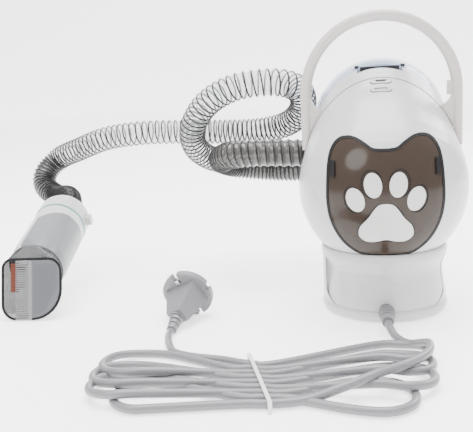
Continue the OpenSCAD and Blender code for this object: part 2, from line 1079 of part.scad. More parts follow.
module comb_blade() {
  color(steel)
  at_mouth()
    difference() {
      translate([comb_x[0], -comb_half + 1.2, -1.3])
        cube([comb_x[1] - comb_x[0], 2 * comb_half, 1.1]);
      for (i = [1 : comb_teeth - 1])
        translate([comb_x[0] - 1, -comb_half + 1.2 + i * comb_tooth_pitch - 0.5, -2])
          cube([14.5, 1, 3]);
    }
}

module comb_cover() {
  color([0.5, 0.5, 0.52])
  at_mouth()
    difference() {
      translate([0, 0, -1.3])
        linear_extrude(height = 2)
          intersection() {
            polygon(mouth(-2.1, 8));
            translate([comb_x[1] + 0.1, -40])
              square([60, 80]);
          }
      for (i = [-15 : 14])
        translate([2, (i + 0.5) * cover_rib_pitch - 0.3, -2])
          cube([25 - max(0, i + 2) * 0.9, 0.6, 1]);
    }
}

module cutter_blade() {
  half = 25;
  color(steel)
  at_mouth()
    difference() {
      translate([comb_x[0] + 1.5, -half, -0.1])
        cube([14, 2 * half, 0.9]);
      for (i = [1 : 19])
        translate([comb_x[0] + 1, -half + i * 2.5 - 0.6, -1])
          cube([9, 1.2, 3]);
    }
}

// Follower that the cam's pin pushes: a bar behind the blade and a slotted post.
module cutter_carrier() {
  color(copper)
  difference() {
    union() {
      at_mouth()
        translate([-23, -27, 0.8])
          cube([7, 30, 5]);
      intersection() {
        at_mouth()
          translate([-30, -30, 0.8])
            cube([60, 60, 40]);
        at_tool()
          translate([drive_x - 7, -8, 8])
            cube([11, 16, 23.5]);
      }
    }
    at_tool()
      translate([drive_x - 5, -4.1, 21])
        cube([10, 8.2, 20]);
  }
}

// ---- Base ----

function base_outline(inset, low, high) =
  let (r = base_r - inset)
  [[0, low], [r - 1.2, low], [r - 2.4, 22], [r - 3.6, 31], [r - 4.7, 40], [r - 4.7, 47], [r - 3, 52],
    [r - 1.4, high], [0, high]];

module panel_space(grow) {
  a = panel_half + grow;
  r = panel_round + grow;
  low = foot_z[1] - 1;
  facing(-18 + grow, big)
    polygon(concat(
      [[-a, 90]],
      [for (i = [0 : 6]) [-a + r - r * cos(i * 15), low + r - r * sin(i * 15)]],
      [for (i = [0 : 6]) [a - r + r * sin(i * 15), low + r - r * cos(i * 15)]],
      [[a, 90]]
    ));
}

module gland_hole(r) {
  translate([0, -30, gland_z])
    rotate([90, 0, 0])
      cylinder(r = r, h = 60, $fn = medium);
}

module base_rim() {
  color(white)
  difference() {
    rotate_extrude($fn = fine)
      polygon([[48, rim_z[0]], [59.9, rim_z[0]], [61, 58], [61.5, 61], [61.3, 64.5], [60.6, 66.4],
        [59.8, rim_z[1]], [48, rim_z[1]]]);
    translate([0, 0, ball_z])
      sphere(r = ball_r + 0.35, $fn = fine);
  }
}

module base_rear_shell() {
  low = foot_z[1] + 0.1;
  high = rim_z[0] - 0.1;
  color(white)
  difference() {
    union() {
      difference() {
        union() {
          rotate_extrude($fn = fine)
            polygon(base_outline(0, low, high));
          intersection() {
            translate([0, 0, low])
              cylinder(r = base_r - 1.2, h = high - low, $fn = fine);
            translate([-100, -100, 0])
              cube([58, 200, 100]);
          }
        }
        rotate_extrude($fn = fine)
          polygon(base_outline(base_wall, low - 1, high + 1));
      }
      for (a = screw_angles)
        rotate([0, 0, a])
          intersection() {
            union() {
              translate([44, 0, low])
                cylinder(r = 4, h = 26, $fn = medium);
              translate([44, -1, low])
                cube([13, 2, 26]);
            }
            rotate_extrude($fn = fine)
              polygon(base_outline(1, low, high));
          }
    }
    panel_space(0.3);
    for (a = screw_angles)
      rotate([0, 0, a])
        translate([44, 0, low - 1])
          cylinder(r = 1.6, h = 16, $fn = 24);
  }
}

module base_front_panel() {
  low = foot_z[1] + 0.1;
  high = rim_z[0] - 0.1;
  color(white)
  difference() {
    intersection() {
      difference() {
        rotate_extrude($fn = fine)
          polygon(base_outline(0.7, low, high));
        rotate_extrude($fn = fine)
          polygon(base_outline(0.7 + base_wall, low - 1, high + 1));
      }
      panel_space(0);
    }
    gland_hole(7.1);
  }
}

module foot_ring() {
  color(white)
  difference() {
    rotate_extrude($fn = fine)
      polygon([[50, foot_z[0]], [57, foot_z[0]], [59.6, 2], [61, 4.2], [base_r, 7], [61.2, 9.6],
        [60.3, foot_z[1]], [57, foot_z[1]], [57, 3.2], [50, 3.2]]);
    gland_hole(7.1);
  }
}

module base_plate() {
  color(dark_grey)
  difference() {
    translate([0, 0, 3.3])
      cylinder(r = 56.6, h = 2.3, $fn = fine);
    for (place = foot_places)
      translate(place)
        cylinder(r = 2.6, h = 10, $fn = 24);
    for (a = screw_angles)
      rotate([0, 0, a])
        translate([44, 0, 0])
          cylinder(r = 1.7, h = 10, $fn = 24);
    for (s = [-1, 1]) for (i = [0 : 2])
      translate([s * (12 + i * 5) - 1.2, -14, 2])
        cube([2.4, 28, 6]);
    translate([-9.5, -60, 2])
      cube([19, 10, 6]);
  }
}

module rubber_feet() {
  color(black)
  for (place = foot_places)
    translate(place)
      union() {
        cylinder(r = 7, h = 3.2, $fn = medium);
        cylinder(r = 2.3, h = 7, $fn = medium);
      }
}

module base_screws() {
  color(steel)
  for (a = screw_angles)
    rotate([0, 0, a])
      translate([44, 0, 0])
        union() {
          translate([0, 0, 1.4])
            cylinder(r = 3.2, h = 1.8, $fn = 24);
          translate([0, 0, 3])
            cylinder(r = 1.5, h = 20, $fn = 24);
        }
}

module mains_board() {
  color(board_green)
  union() {
    translate([-32, -20, 18])
      cube([64, 40, 1.6]);
    for (x = [-28, 28], y = [-16, 16])
      translate([x, y, 5.7])
        cylinder(r = 2, h = 12.4, $fn = 24);
    translate([-26, -14, 19.5])
      cube([22, 26, 18]);
    translate([10, 4, 19.5])
      cylinder(r = 7, h = 20, $fn = medium);
    translate([4, -17, 19.5])
      cube([22, 10, 9]);
  }
}

// ---- Cord ----

module cord_gland() {
  color(cord_grey)
  translate([0, -52, gland_z])
    rotate([90, 0, 0])
      rotate_extrude($fn = medium)
        polygon([[0, 0], [8.6, 0], [8.6, 2.6], [6.8, 2.8], [6.8, 11], [7.8, 11.2], [7.6, 15], [6, 15.2],
          [6, 17], [7.4, 17.2], [7, 21], [5.6, 21.2], [5.6, 23], [6.8, 23.2], [6.4, 27], [5.2, 27.2],
          [5.2, 29], [6.2, 29.2], [5.2, 38], [0, 38]]);
}

module cord_lead() {
  color(cord_grey)
  tube_along(lead_route, cord_d / 2, cord_sides, 2);
}

module cord_tail() {
  color(cord_grey)
  tube_along(tail_route, cord_d / 2, cord_sides, 2);
}

module hank_form() {
  translate([0, 0, hank_z[0]])
    linear_extrude(height = hank_z[1] - hank_z[0])
      polygon(closed_curve(hank_outline, 4));
}

module cord_hank() {
  color(cord_grey)
  hank_form();
}

module cord_tie() {
  color(white)
  difference() {
    translate([tie_x, -200, 0])
      rotate([0, 0, 17])
        translate([-1.5, -47, 0])
          cube([3, 94, hank_z[1] + 1.2]);
    hank_form();
  }
}

module plug_body() {
  color(cord_grey)
  at_plug()
    difference() {
      union() {
        rotate_extrude($fn = medium)
          polygon([[0, 0], [4.8, 0], [5.2, 5], [4.4, 5.2], [4.4, 6.6], [5.6, 6.8], [5.9, 10], [4.8, 10.2],
            [4.8, 11.6], [6.2, 11.8], [6.6, 15], [5.2, 15.2], [5.2, 16.6], [7, 16.8], [7.2, 20], [0, 20]]);
        translate([0, 0, 54])
          mirror([0, 0, 1])
            linear_extrude(height = 35, scale = [0.46, 0.58])
              square([35, 26], center = true);
        translate([0, 0, 53.9])
          cylinder(r = plug_disc_r, h = 6.1, $fn = fine);
      }
      for (s = [-1, 1])
        translate([-3, s * 21 - 6, 52.6])
          cube([6, 12, 9]);
      for (s = [-1, 1])
        translate([s * 24.5 - 2.5, -3, 52.6])
          cube([5, 6, 9]);
      for (s = [-1, 1])
        translate([s * 9.5, 0, 51.9])
          cylinder(d = pin_d - 0.4, h = 10, $fn = medium);
    }
}

// Each pin has a slightly thinner root inside the plug.
module plug_pins() {
  color(steel)
  at_plug()
    for (s = [-1, 1])
      translate([s * 9.5, 0, 52])
        rotate_extrude($fn = medium)
          polygon([[0, 0], [pin_d / 2 - 0.25, 0], [pin_d / 2 - 0.25, 8.3], [pin_d / 2, 8.3], [pin_d / 2, 25],
            [pin_d / 2 - 1, 27], [0, 27]]);
}

module plug_contacts() {
  color(steel)
  at_plug()
    for (s = [-1, 1])
      translate([-2, s * 17.1 - 2.2, 53])
        cube([4, 4, 6]);
}

front_shell();
face_window();
window_gasket();
paw_pads();
window_clips();
face_tray();
exhaust_sponge();
mid_housing();
handle();
handle_screws();
dust_cup();
cup_latch();
latch_screws();
cup_seal();
filter_cage();
pleated_filter();
inlet_duct();
plenum();
fan_housing();
impeller();
motor_shaft();
motor_rotor();
motor_can();
motor_mount();
chassis();
control_board();
power_button();
mode_button();
hose_port();
hose_cuff();
hose();
hose_collar();
teal_ring();
release_tab();
handpiece_shell();
grip_cover();
tool_motor();
tool_cam();
nozzle_shroud();
shroud_rim();
comb_blade();
comb_cover();
cutter_blade();
cutter_carrier();
base_rim();
base_rear_shell();
base_front_panel();
foot_ring();
base_plate();
rubber_feet();
base_screws();
mains_board();
cord_gland();
cord_lead();
cord_hank();
cord_tie();
cord_tail();
plug_body();
plug_pins();
plug_contacts();
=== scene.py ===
import math
import bpy
from mathutils import Matrix, Vector


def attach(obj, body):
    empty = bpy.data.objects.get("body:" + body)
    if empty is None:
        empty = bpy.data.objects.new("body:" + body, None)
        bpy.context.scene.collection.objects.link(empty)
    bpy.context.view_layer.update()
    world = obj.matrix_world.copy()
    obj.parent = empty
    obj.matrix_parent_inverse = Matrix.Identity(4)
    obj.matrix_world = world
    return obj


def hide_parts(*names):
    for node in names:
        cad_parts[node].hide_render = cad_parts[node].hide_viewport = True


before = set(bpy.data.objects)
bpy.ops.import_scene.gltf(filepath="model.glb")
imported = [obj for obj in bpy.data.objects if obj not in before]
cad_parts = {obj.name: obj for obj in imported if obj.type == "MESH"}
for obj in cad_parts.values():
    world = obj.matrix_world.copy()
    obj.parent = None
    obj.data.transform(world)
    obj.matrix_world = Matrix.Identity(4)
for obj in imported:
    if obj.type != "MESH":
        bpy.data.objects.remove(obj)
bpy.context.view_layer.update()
MM = 0.001
# Points below are written in mm and scaled to metres; the parts' own nodes are already in metres.

# ---------------------------------------------------------------- camera
CAMERA_AT = (-0.026, -0.7244, 0.2412)
YAW, PITCH, ROLL = math.radians(-9.46), math.radians(11.26), math.radians(-3.14)
FOCAL_PX, WIDE_PX, SENSOR = 733.0, 473.0, 36.0
look = Vector((math.sin(YAW) * math.cos(PITCH), math.cos(YAW) * math.cos(PITCH), -math.sin(PITCH)))
right0 = Vector((math.cos(YAW), -math.sin(YAW), 0.0))
up0 = right0.cross(look)
right = right0 * math.cos(ROLL) + up0 * math.sin(ROLL)
up = up0 * math.cos(ROLL) - right0 * math.sin(ROLL)
camera_data = bpy.data.cameras.new("camera")
camera_data.sensor_width = SENSOR
camera_data.lens = FOCAL_PX / WIDE_PX * SENSOR
camera_data.clip_start, camera_data.clip_end = 0.01, 50.0
camera = bpy.data.objects.new("camera", camera_data)
bpy.context.scene.collection.objects.link(camera)
axes = Matrix((right, up, -look)).transposed().to_4x4()
camera.matrix_world = Matrix.Translation(CAMERA_AT) @ axes
bpy.context.scene.camera = camera


# ---------------------------------------------------------------- curves
def between(a, b, c, d, t):
    """Point on the smooth curve from b to c, where a and d are their neighbours."""
    return 0.5 * (2 * b + (c - a) * t + (2 * a - 5 * b + 4 * c - d) * t * t
                  + (3 * b - a - 3 * c + d) * t ** 3)


def catmull(points, steps):
    """Smooth open curve through the points."""
    p = [Vector(q) for q in points]
    p = [p[0]] + p + [p[-1]]
    out = []
    for i in range(1, len(p) - 2):
        out += [between(*p[i - 1:i + 3], k / steps) for k in range(steps)]
    out.append(p[-1])
    return out


def lengths(line):
    """Distance along a line at each of its points."""
    out = [0.0]
    for a, b in zip(line, line[1:]):
        out.append(out[-1] + (b - a).length)
    return out


def resample(line, gap):
    """Points an even gap apart along a line."""
    s = lengths(line)
    count = max(2, round(s[-1] / gap))
    out, j = [], 0
    for i in range(count + 1):
        want = s[-1] * i / count
        while j < len(s) - 2 and s[j + 1] < want:
            j += 1
        t = (want - s[j]) / max(s[j + 1] - s[j], 1e-9)
        out.append(line[j].lerp(line[j + 1], min(max(t, 0), 1)))
    return out


def frames(line):
    """A direction and two sideways unit vectors at each point, turning as little as possible."""
    n = len(line)
    t = [(line[min(i + 1, n - 1)] - line[max(i - 1, 0)]).normalized() for i in range(n)]
    side = t[0].cross(Vector((0, 0.3, 1))).normalized()
    out = []
    for d in t:
        side = (side - side.dot(d) * d).normalized()
        out.append((d, side, d.cross(side)))
    return out


def interpolate(table, x):
    """Value at x in a table of rising (x, value) pairs."""
    for (x0, y0), (x1, y1) in zip(table, table[1:]):
        if x <= x1:
            return y0 + (y1 - y0) * min(max((x - x0) / max(x1 - x0, 1e-9), 0), 1)
    return table[-1][1]


def new_object(name, verts, faces):
    """Smooth-shaded mesh object from vertices and faces."""
    mesh = bpy.data.meshes.new(name)
    mesh.from_pydata([tuple(v) for v in verts], [], faces)
    mesh.update()
    mesh.polygons.foreach_set("use_smooth", [True] * len(mesh.polygons))
    obj = bpy.data.objects.new(name, mesh)
    bpy.context.scene.collection.objects.link(obj)
    return obj


def tube_faces(rings, sides):
    """Faces of a closed tube whose vertices are listed ring by ring."""
    faces = []
    for i in range(rings - 1):
        for k in range(sides):
            j = (k + 1) % sides
            faces.append((i * sides + k, i * sides + j, (i + 1) * sides + j, (i + 1) * sides + k))
    faces.append(tuple(reversed(range(sides))))
    faces.append(tuple((rings - 1) * sides + k for k in range(sides)))
    return faces


def tube(name, line, radius, sides):
    """Closed round tube; radius is a number or a function of the point's index and the angle."""
    verts = []
    for i, (p, (_, a, b)) in enumerate(zip(line, frames(line))):
        for k in range(sides):
            w = 2 * math.pi * k / sides
            r = radius(i, w) if callable(radius) else radius
            verts.append(p + r * (math.cos(w) * a + math.sin(w) * b))
    return new_object(name, verts, tube_faces(len(line), sides))


# ---------------------------------------------------------------- materials
def material(name, color, rough=0.4, metal=0.0, alpha=1.0, coat=0.0, grain=0.0, grain_size=400.0,
             shade=0.03, shade_size=18.0, spec=0.5):
    """Plastic or metal with a little uneven colour, roughness and grain."""
    m = bpy.data.materials.new(name)
    m.use_nodes = True
    t = m.node_tree
    b = t.nodes["Principled BSDF"]
    b.inputs["Metallic"].default_value = metal
    b.inputs["Alpha"].default_value = alpha
    b.inputs["Coat Weight"].default_value = coat
    b.inputs["Coat Roughness"].default_value = 0.08
    b.inputs["Specular IOR Level"].default_value = spec
    where = t.nodes.new("ShaderNodeTexCoord")
    cloud = t.nodes.new("ShaderNodeTexNoise")
    cloud.inputs["Scale"].default_value = shade_size
    cloud.inputs["Detail"].default_value = 4.0
    t.links.new(where.outputs["Object"], cloud.inputs["Vector"])
    mix = t.nodes.new("ShaderNodeMix")
    mix.data_type = "RGBA"
    mix.inputs["A"].default_value = (*[c * (1 - shade) for c in color], 1)
    mix.inputs["B"].default_value = (*[min(c * (1 + shade), 1) for c in color], 1)
    t.links.new(cloud.outputs["Fac"], mix.inputs["Factor"])
    t.links.new(mix.outputs["Result"], b.inputs["Base Color"])
    spread = t.nodes.new("ShaderNodeMapRange")
    spread.inputs["To Min"].default_value = max(rough - 0.06, 0.02)
    spread.inputs["To Max"].default_value = rough + 0.06
    t.links.new(cloud.outputs["Fac"], spread.inputs["Value"])
    t.links.new(spread.outputs["Result"], b.inputs["Roughness"])
    if grain:
        fine = t.nodes.new("ShaderNodeTexNoise")
        fine.inputs["Scale"].default_value = grain_size
        fine.inputs["Detail"].default_value = 3.0
        t.links.new(where.outputs["Object"], fine.inputs["Vector"])
        bump = t.nodes.new("ShaderNodeBump")
        bump.inputs["Strength"].default_value = grain
        bump.inputs["Distance"].default_value = 0.0003
        t.links.new(fine.outputs["Fac"], bump.inputs["Height"])
        t.links.new(bump.outputs["Normal"], b.inputs["Normal"])
    return m


def paint(obj, mat):
    """Give an object one material and return it."""
    obj.data.materials.clear()
    obj.data.materials.append(mat)
    return obj


WHITE = material("white_plastic", (0.47, 0.474, 0.482), 0.28, coat=0.2, grain=0.05, grain_size=600)
HANDLE = material("handle_plastic", (0.48, 0.435, 0.422), 0.3, coat=0.2, grain=0.05, grain_size=600)
WINDOW = material("smoke_window", (0.030, 0.020, 0.014), 0.16, alpha=0.97, coat=0.06, spec=0.25)
PAD = material("pad_plastic", (0.55, 0.54, 0.53), 0.35, coat=0.15)
CUP = material("clear_cup", (0.40, 0.50, 0.68), 0.08, alpha=0.6, coat=0.8)
SHROUD = material("shroud_plastic", (0.045, 0.046, 0.05), 0.13, alpha=0.7, coat=0.3)
DARK = material("dark_plastic", (0.02, 0.02, 0.022), 0.5, grain=0.2, spec=0.3)
GRIP = material("grip_plastic", (0.135, 0.14, 0.15), 0.33, coat=0.15, grain=0.12)
RIBBED = material("rib_plastic", (0.10, 0.104, 0.115), 0.4, grain=0.15)
BROWN = material("brown_plastic", (0.10, 0.026, 0.014), 0.35, spec=0.3)
TEAL = material("teal_plastic", (0.10, 0.36, 0.32), 0.3, coat=0.2)
RUBBER = material("black_rubber", (0.006, 0.006, 0.007), 0.5, grain=0.3, spec=0.2)
VINYL = material("grey_vinyl", (0.165, 0.165, 0.175), 0.36, coat=0.12, grain=0.12, grain_size=900)
FILM = material("hose_film", (0.46, 0.47, 0.48), 0.14, alpha=0.36, coat=0.7)
# Darker copy of the hose film: painted shade for the shaded runs of the hose.
FILM_PAINTED_SHADE = material("hose_film_painted_shade", (0.062, 0.058, 0.054), 0.2, alpha=0.85, coat=0.35)
WIRE = material("hose_wire", (0.012, 0.012, 0.013), 0.3, spec=0.25)
TIE = material("tie_plastic", (0.74, 0.74, 0.76), 0.3, coat=0.3)
STEEL = material("steel", (0.55, 0.56, 0.58), 0.26, metal=1.0, grain=0.1, grain_size=1500)
BLADE = material("blade_steel", (0.26, 0.26, 0.265), 0.32, metal=0.6, grain=0.15, grain_size=1200)
PIN = material("pin_metal", (0.74, 0.74, 0.75), 0.14, metal=1.0)
PAPER = material("filter_paper", (0.62, 0.62, 0.55), 0.8, grain=0.6, grain_size=250)
SPONGE = material("sponge", (0.015, 0.015, 0.017), 0.9, grain=1.0, grain_size=220)
BOARD = material("circuit_board", (0.02, 0.10, 0.04), 0.35, shade=0.2, shade_size=80)
COPPER = material("copper_winding", (0.42, 0.2, 0.08), 0.35, metal=0.8)

LOOKS = [
    (WHITE, "front_shell mid_housing filter_cage impeller power_button mode_button hose_collar"
            " handpiece_shell base_rim base_rear_shell base_front_panel foot_ring"),
    (PAD, "paw_pads"), (HANDLE, "handle release_tab"), (WINDOW, "face_window"), (CUP, "dust_cup"),
    (SHROUD, "nozzle_shroud"),
    (RUBBER, "window_gasket window_clips cup_seal motor_mount hose_cuff shroud_rim rubber_feet"),
    (DARK, "face_tray cup_latch latch_screws inlet_duct plenum fan_housing chassis hose_port base_plate"),
    (SPONGE, "exhaust_sponge"), (PAPER, "pleated_filter"),
    (STEEL, "handle_screws motor_shaft motor_can base_screws tool_motor tool_cam"),
    (BLADE, "comb_blade cutter_blade"), (COPPER, "motor_rotor"), (BOARD, "control_board mains_board"),
    (TEAL, "teal_ring"), (GRIP, "grip_cover"), (RIBBED, "comb_cover"), (BROWN, "cutter_carrier"),
    (VINYL, "cord_gland cord_hank cord_lead cord_tail plug_body"), (TIE, "cord_tie"),
    (PIN, "plug_pins plug_contacts"), (FILM, "hose"),
]
for look_of, names in LOOKS:
    for name in names.split():
        node = bpy.data.objects[name]
        for i in range(max(len(node.material_slots), 1)):
            if node.material_slots:
                node.material_slots[i].material = look_of
            else:
                node.data.materials.append(look_of)

# ---------------------------------------------------------------- hose
# Route from the canister's port to the handpiece's collar, the same as the CAD hose's.
HOSE_ROUTE = [
    (-79, 44, 152), (-102, 43.5, 153), (-130, 41, 154), (-157, 48, 152), (-172, 75, 144),
    (-160, 99, 135), (-125, 108, 129), (-81, 109, 127), (-54, 127, 127), (-51, 156, 128),
    (-76, 179, 129), (-115, 187, 130), (-157, 177, 129), (-190, 151, 134), (-209, 121, 152),
    (-208, 96, 178), (-186, 76, 206), (-151, 63, 223), (-110, 66, 226), (-85, 83, 217),
    (-83, 111, 196), (-102, 135, 177), (-138, 146, 169), (-186, 152, 169), (-238, 152, 171),
    (-288, 154, 171), (-335, 162, 165), (-375, 172, 152), (-407, 182, 140), (-424, 173, 122),
    (-422, 165, 106), (-403, 156, 95), (-381, 137, 95.5), (-371, 110, 86.6), (-369.1, 87, 79.1),
]
# Spacing of the wire's turns in mm, by route point: close in the bends, wide where it is stretched.
HOSE_PITCH = [
    (0, 9.5), (1, 9.0), (2, 7.5), (3, 5.0), (5, 4.2), (7, 4.8), (11, 4.8), (13, 5.2), (15, 6.0),
    (16, 7.2), (18, 8.2), (19, 7.0), (21, 5.4), (23, 6.2), (24, 7.6), (25, 8.2), (26, 7.2),
    (27, 5.4), (28, 4.4), (30, 3.6), (34, 3.3),
]
# The film takes a darker copy of its material, painted shade, before the first of these route points and
# after the second.
SHADE_UNTIL, SHADE_FROM = 11.5, 28.3
FILM_RING_GAP = 0.85 * MM
FILM_SIDES = 28
FILM_R, FILM_DIP = 13.75 * MM, 0.7 * MM
hose_steps = 24
hose_raw = catmull([Vector(p) * MM for p in HOSE_ROUTE], hose_steps)
raw_s = lengths(hose_raw)
hose_length = raw_s[-1]


def route_index(s):
    """Route point number, with a fraction, at a distance along the hose."""
    lo, hi = 0, len(raw_s) - 1
    while hi - lo > 1:
        mid = (lo + hi) // 2
        if raw_s[mid] <= s:
            lo = mid
        else:
            hi = mid
    return (lo + (s - raw_s[lo]) / max(raw_s[hi] - raw_s[lo], 1e-9)) / hose_steps


hose_line = resample(hose_raw, FILM_RING_GAP)
hose_gap = hose_length / (len(hose_line) - 1)
turn = [0.0]
for i in range(1, len(hose_line)):
    pitch = interpolate(HOSE_PITCH, route_index(i * hose_gap)) * MM
    turn.append(turn[-1] + 2 * math.pi * hose_gap / pitch)
hose_frames = frames(hose_line)


def film_radius(i, w):
    """Film dips between the turns of the wire."""
    return FILM_R + FILM_DIP * math.cos(turn[i] - w)


film = tube("hose_film", hose_line, film_radius, FILM_SIDES)
film.data.materials.append(FILM)
film.data.materials.append(FILM_PAINTED_SHADE)
# Painted shade: faces in the shaded stretches take the darker film material.
for i in range(len(hose_line) - 1):
    at = route_index(i * hose_gap)
    if at < SHADE_UNTIL or at > SHADE_FROM:
        for poly in film.data.polygons[i * FILM_SIDES:(i + 1) * FILM_SIDES]:
            poly.material_index = 1

WIRE_SIDES, WIRE_R, WIRE_AT = 6, 0.95 * MM, 14.0 * MM
WIRE_STEPS = 4
wire_line, wire_centres = [], []
for i in range(len(hose_line) - 1):
    for k in range(WIRE_STEPS):
        t = k / WIRE_STEPS
        phase = turn[i] + (turn[i + 1] - turn[i]) * t
        centre = hose_line[i].lerp(hose_line[i + 1], t)
        a = hose_frames[i][1].lerp(hose_frames[i + 1][1], t).normalized()
        b = hose_frames[i][2].lerp(hose_frames[i + 1][2], t).normalized()
        wire_line.append(centre + WIRE_AT * (math.cos(phase) * a + math.sin(phase) * b))
        wire_centres.append(centre)
verts = []
last = len(wire_line) - 1
for i, (p, centre) in enumerate(zip(wire_line, wire_centres)):
    d = (wire_line[min(i + 1, last)] - wire_line[max(i - 1, 0)]).normalized()
    out = (p - centre).normalized()
    out = (out - out.dot(d) * d).normalized()
    side = d.cross(out)
    for k in range(WIRE_SIDES):
        w = 2 * math.pi * k / WIRE_SIDES
        verts.append(p + WIRE_R * (math.cos(w) * out + math.sin(w) * side))
wire = new_object("hose_wire", verts, tube_faces(len(wire_line), WIRE_SIDES))
paint(wire, WIRE)
for piece in (film, wire):
    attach(piece, "housing")
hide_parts("hose")
[tuple(p) for p in resample(hose_raw, 5 * MM)]

# ---------------------------------------------------------------- cord
CORD_D = 7 * MM
LOW, HIGH, TOP = 3.9, 10.6, 16.8
TIE_TOP, TIE_BOTTOM = (-116, -160), (-91, -241)
STRANDS = 9


def tie_point(strand):
    """Where a strand passes under the tie; strand 0 is the one nearest the plug."""
    t = (strand + 0.5) / STRANDS
    x = TIE_TOP[0] + (TIE_BOTTOM[0] - TIE_TOP[0]) * t
    y = TIE_TOP[1] + (TIE_BOTTOM[1] - TIE_TOP[1]) * t
    return (x, y, LOW)


def fold(end_x, centre, half, side, low_z):
    """Control points of one fold, from its upper strand round to its lower; side -1 is the left end."""
    x, s = end_x, -side
    up_y, low_y = centre + half, centre - half
    return [(x + s * half * 1.9, up_y - half * 0.12, LOW), (x + s * half * 0.85, up_y, LOW),
            (x + s * half * 0.2, centre + half * 0.62, (2 * LOW + low_z) / 3),
            (x, centre, (LOW + low_z) / 2),
            (x + s * half * 0.2, centre - half * 0.62, (LOW + 2 * low_z) / 3),
            (x + s * half * 0.85, low_y, low_z), (x + s * half * 1.9, low_y + half * 0.12, low_z)]


# Folds as (end x, centre y, half width, height of the lower strand).
LEFT_FOLDS = [(-237, -172, 28, HIGH), (-237, -195, 26, HIGH), (-233, -215, 25, HIGH), (-210, -227, 22, LOW)]
RIGHT_FOLDS = [(30, -143, 24, HIGH), (31, -166, 25, HIGH), (30, -192, 25, HIGH), (14, -220, 25, LOW)]
cord_points = [(0, -90, 13), (1.5, -97, 10.5), (5, -105, 6.5), (11, -113, 4.6), (18, -121, 5.5),
               (26, -133, 11), (30, -149, TOP), (27, -168, TOP), (12, -189, TOP), (-12, -209, TOP),
               (-38, -224, 12), (-64, -231, 5), tie_point(8)]
for i in range(4):
    strand = 8 - 2 * i
    for ends, side, first, reach in ((LEFT_FOLDS, -1, strand, -20), (RIGHT_FOLDS, 1, strand - 1, 22)):
        end_x, centre, half, low_z = ends[3 - i]
        start, stop = tie_point(first), tie_point(first - 1)
        cord_points += [(start[0] + reach, start[1] - 1, LOW)]
        cord_points += reversed(fold(end_x, centre, half, side, low_z))
        cord_points += [(stop[0] + reach, stop[1] + 1, LOW), stop]
cord_points += [(-140, -156, LOW), (-166, -150, LOW), (-184, -141, LOW), (-193, -124, LOW),
                (-198.5, -106, 3.9), (-200.4, -92, 4.0), (-200, -88, 4.65)]
cord_line = catmull([Vector(p) * MM for p in cord_points], 10)
curve = bpy.data.curves.new("mains_cord", "CURVE")
curve.dimensions = "3D"
curve.bevel_depth = CORD_D / 2
curve.bevel_resolution = 5
curve.use_fill_caps = True
spline = curve.splines.new("POLY")
spline.points.add(len(cord_line) - 1)
for point, at in zip(spline.points, cord_line):
    point.co = (*at, 1.0)
spline.use_smooth = True
cord = bpy.data.objects.new("mains_cord", curve)
bpy.context.scene.collection.objects.link(cord)
cord.data.materials.append(VINYL)
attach(cord, "housing")
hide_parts("cord_lead", "cord_hank", "cord_tail")

# ---------------------------------------------------------------- seams and marks
BALL, BACK = Vector((0, 0, 123)), Vector((0, 60, 178))
BALL_R, BACK_R = 81.5, 68.0


def body_distance(p):
    """Height of a point above the canister's skin, in mm."""
    ba, pa = BACK - BALL, p - BALL
    l2, rr = ba.dot(ba), BALL_R - BACK_R
    a2, y = l2 - rr * rr, pa.dot(ba)
    z = y - l2
    cross = pa * l2 - ba * y
    x2, y2, z2 = cross.dot(cross), y * y * l2, z * z * l2
    k = rr * rr * x2
    if math.copysign(a2 * z2, z) > k:
        return math.sqrt(x2 + z2) / l2 - BACK_R
    if math.copysign(a2 * y2, y) < k:
        return math.sqrt(x2 + y2) / l2 - BALL_R
    return (math.sqrt(x2 * a2 / l2) + y * rr) / l2 - BALL_R


def on_body(p, out=0.0, fixed_y=False):
    """Nearest point at a height above the skin, in mm; fixed_y keeps it in its own plane."""
    p = Vector(p)
    for _ in range(14):
        d = body_distance(p) - out
        n = Vector([body_distance(p + e) - body_distance(p - e)
                    for e in (Vector((0.01, 0, 0)), Vector((0, 0.01, 0)), Vector((0, 0, 0.01)))])
        if fixed_y:
            n.y = 0
        p = p - n.normalized() * d
    return p


def ring_tube(name, points, radius, sides=6):
    """Thin closed ring through points given in mm."""
    pts = [Vector(q) * MM for q in points]
    n = len(pts)
    verts, faces = [], []
    centre = sum(pts, Vector()) / n
    flat = sum(((pts[i] - centre).cross(pts[(i + 1) % n] - centre) for i in range(n)), Vector()).normalized()
    for i, q in enumerate(pts):
        t = (pts[(i + 1) % n] - pts[i - 1]).normalized()
        a = t.cross(flat).normalized()
        b = t.cross(a)
        for k in range(sides):
            w = 2 * math.pi * k / sides
            verts.append(q + radius * MM * (math.cos(w) * a + math.sin(w) * b))
    for i in range(n):
        for k in range(sides):
            j, m = (k + 1) % sides, (i + 1) % n
            faces.append((i * sides + k, i * sides + j, m * sides + j, m * sides + k))
    return new_object(name, verts, faces)


def ellipse(cx, cz, rx, rz, tilt, n=48):
    """Points round an ellipse tilted by some degrees, as (x, z)."""
    c, d = math.cos(math.radians(tilt)), math.sin(math.radians(tilt))
    out = []
    for i in range(n):
        x, z = rx * math.cos(2 * math.pi * i / n), rz * math.sin(2 * math.pi * i / n)
        out.append((cx + x * c - z * d, cz + x * d + z * c))
    return out


SEAM = material("seam_shadow", (0.10, 0.055, 0.042), 0.6, spec=0.2)
GAP = material("gap_shadow", (0.05, 0.045, 0.042), 0.6, spec=0.2)
MARK = material("button_mark", (0.06, 0.06, 0.065), 0.5, spec=0.2)
# The line where the front shell meets the housing, open below where the base rim covers it.
SEAM_Y, SEAM_R = 10.0, 0.45
arc = [math.radians(a) for a in range(-62, 243, 3)]
outside = [(90 * math.cos(a), SEAM_Y, 130 + 90 * math.sin(a)) for a in arc]
seam_line = [on_body(p, -0.05, True) * MM for p in outside]
seam = paint(tube("shell_seam", seam_line, SEAM_R * MM, 8), SEAM)
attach(seam, "housing")
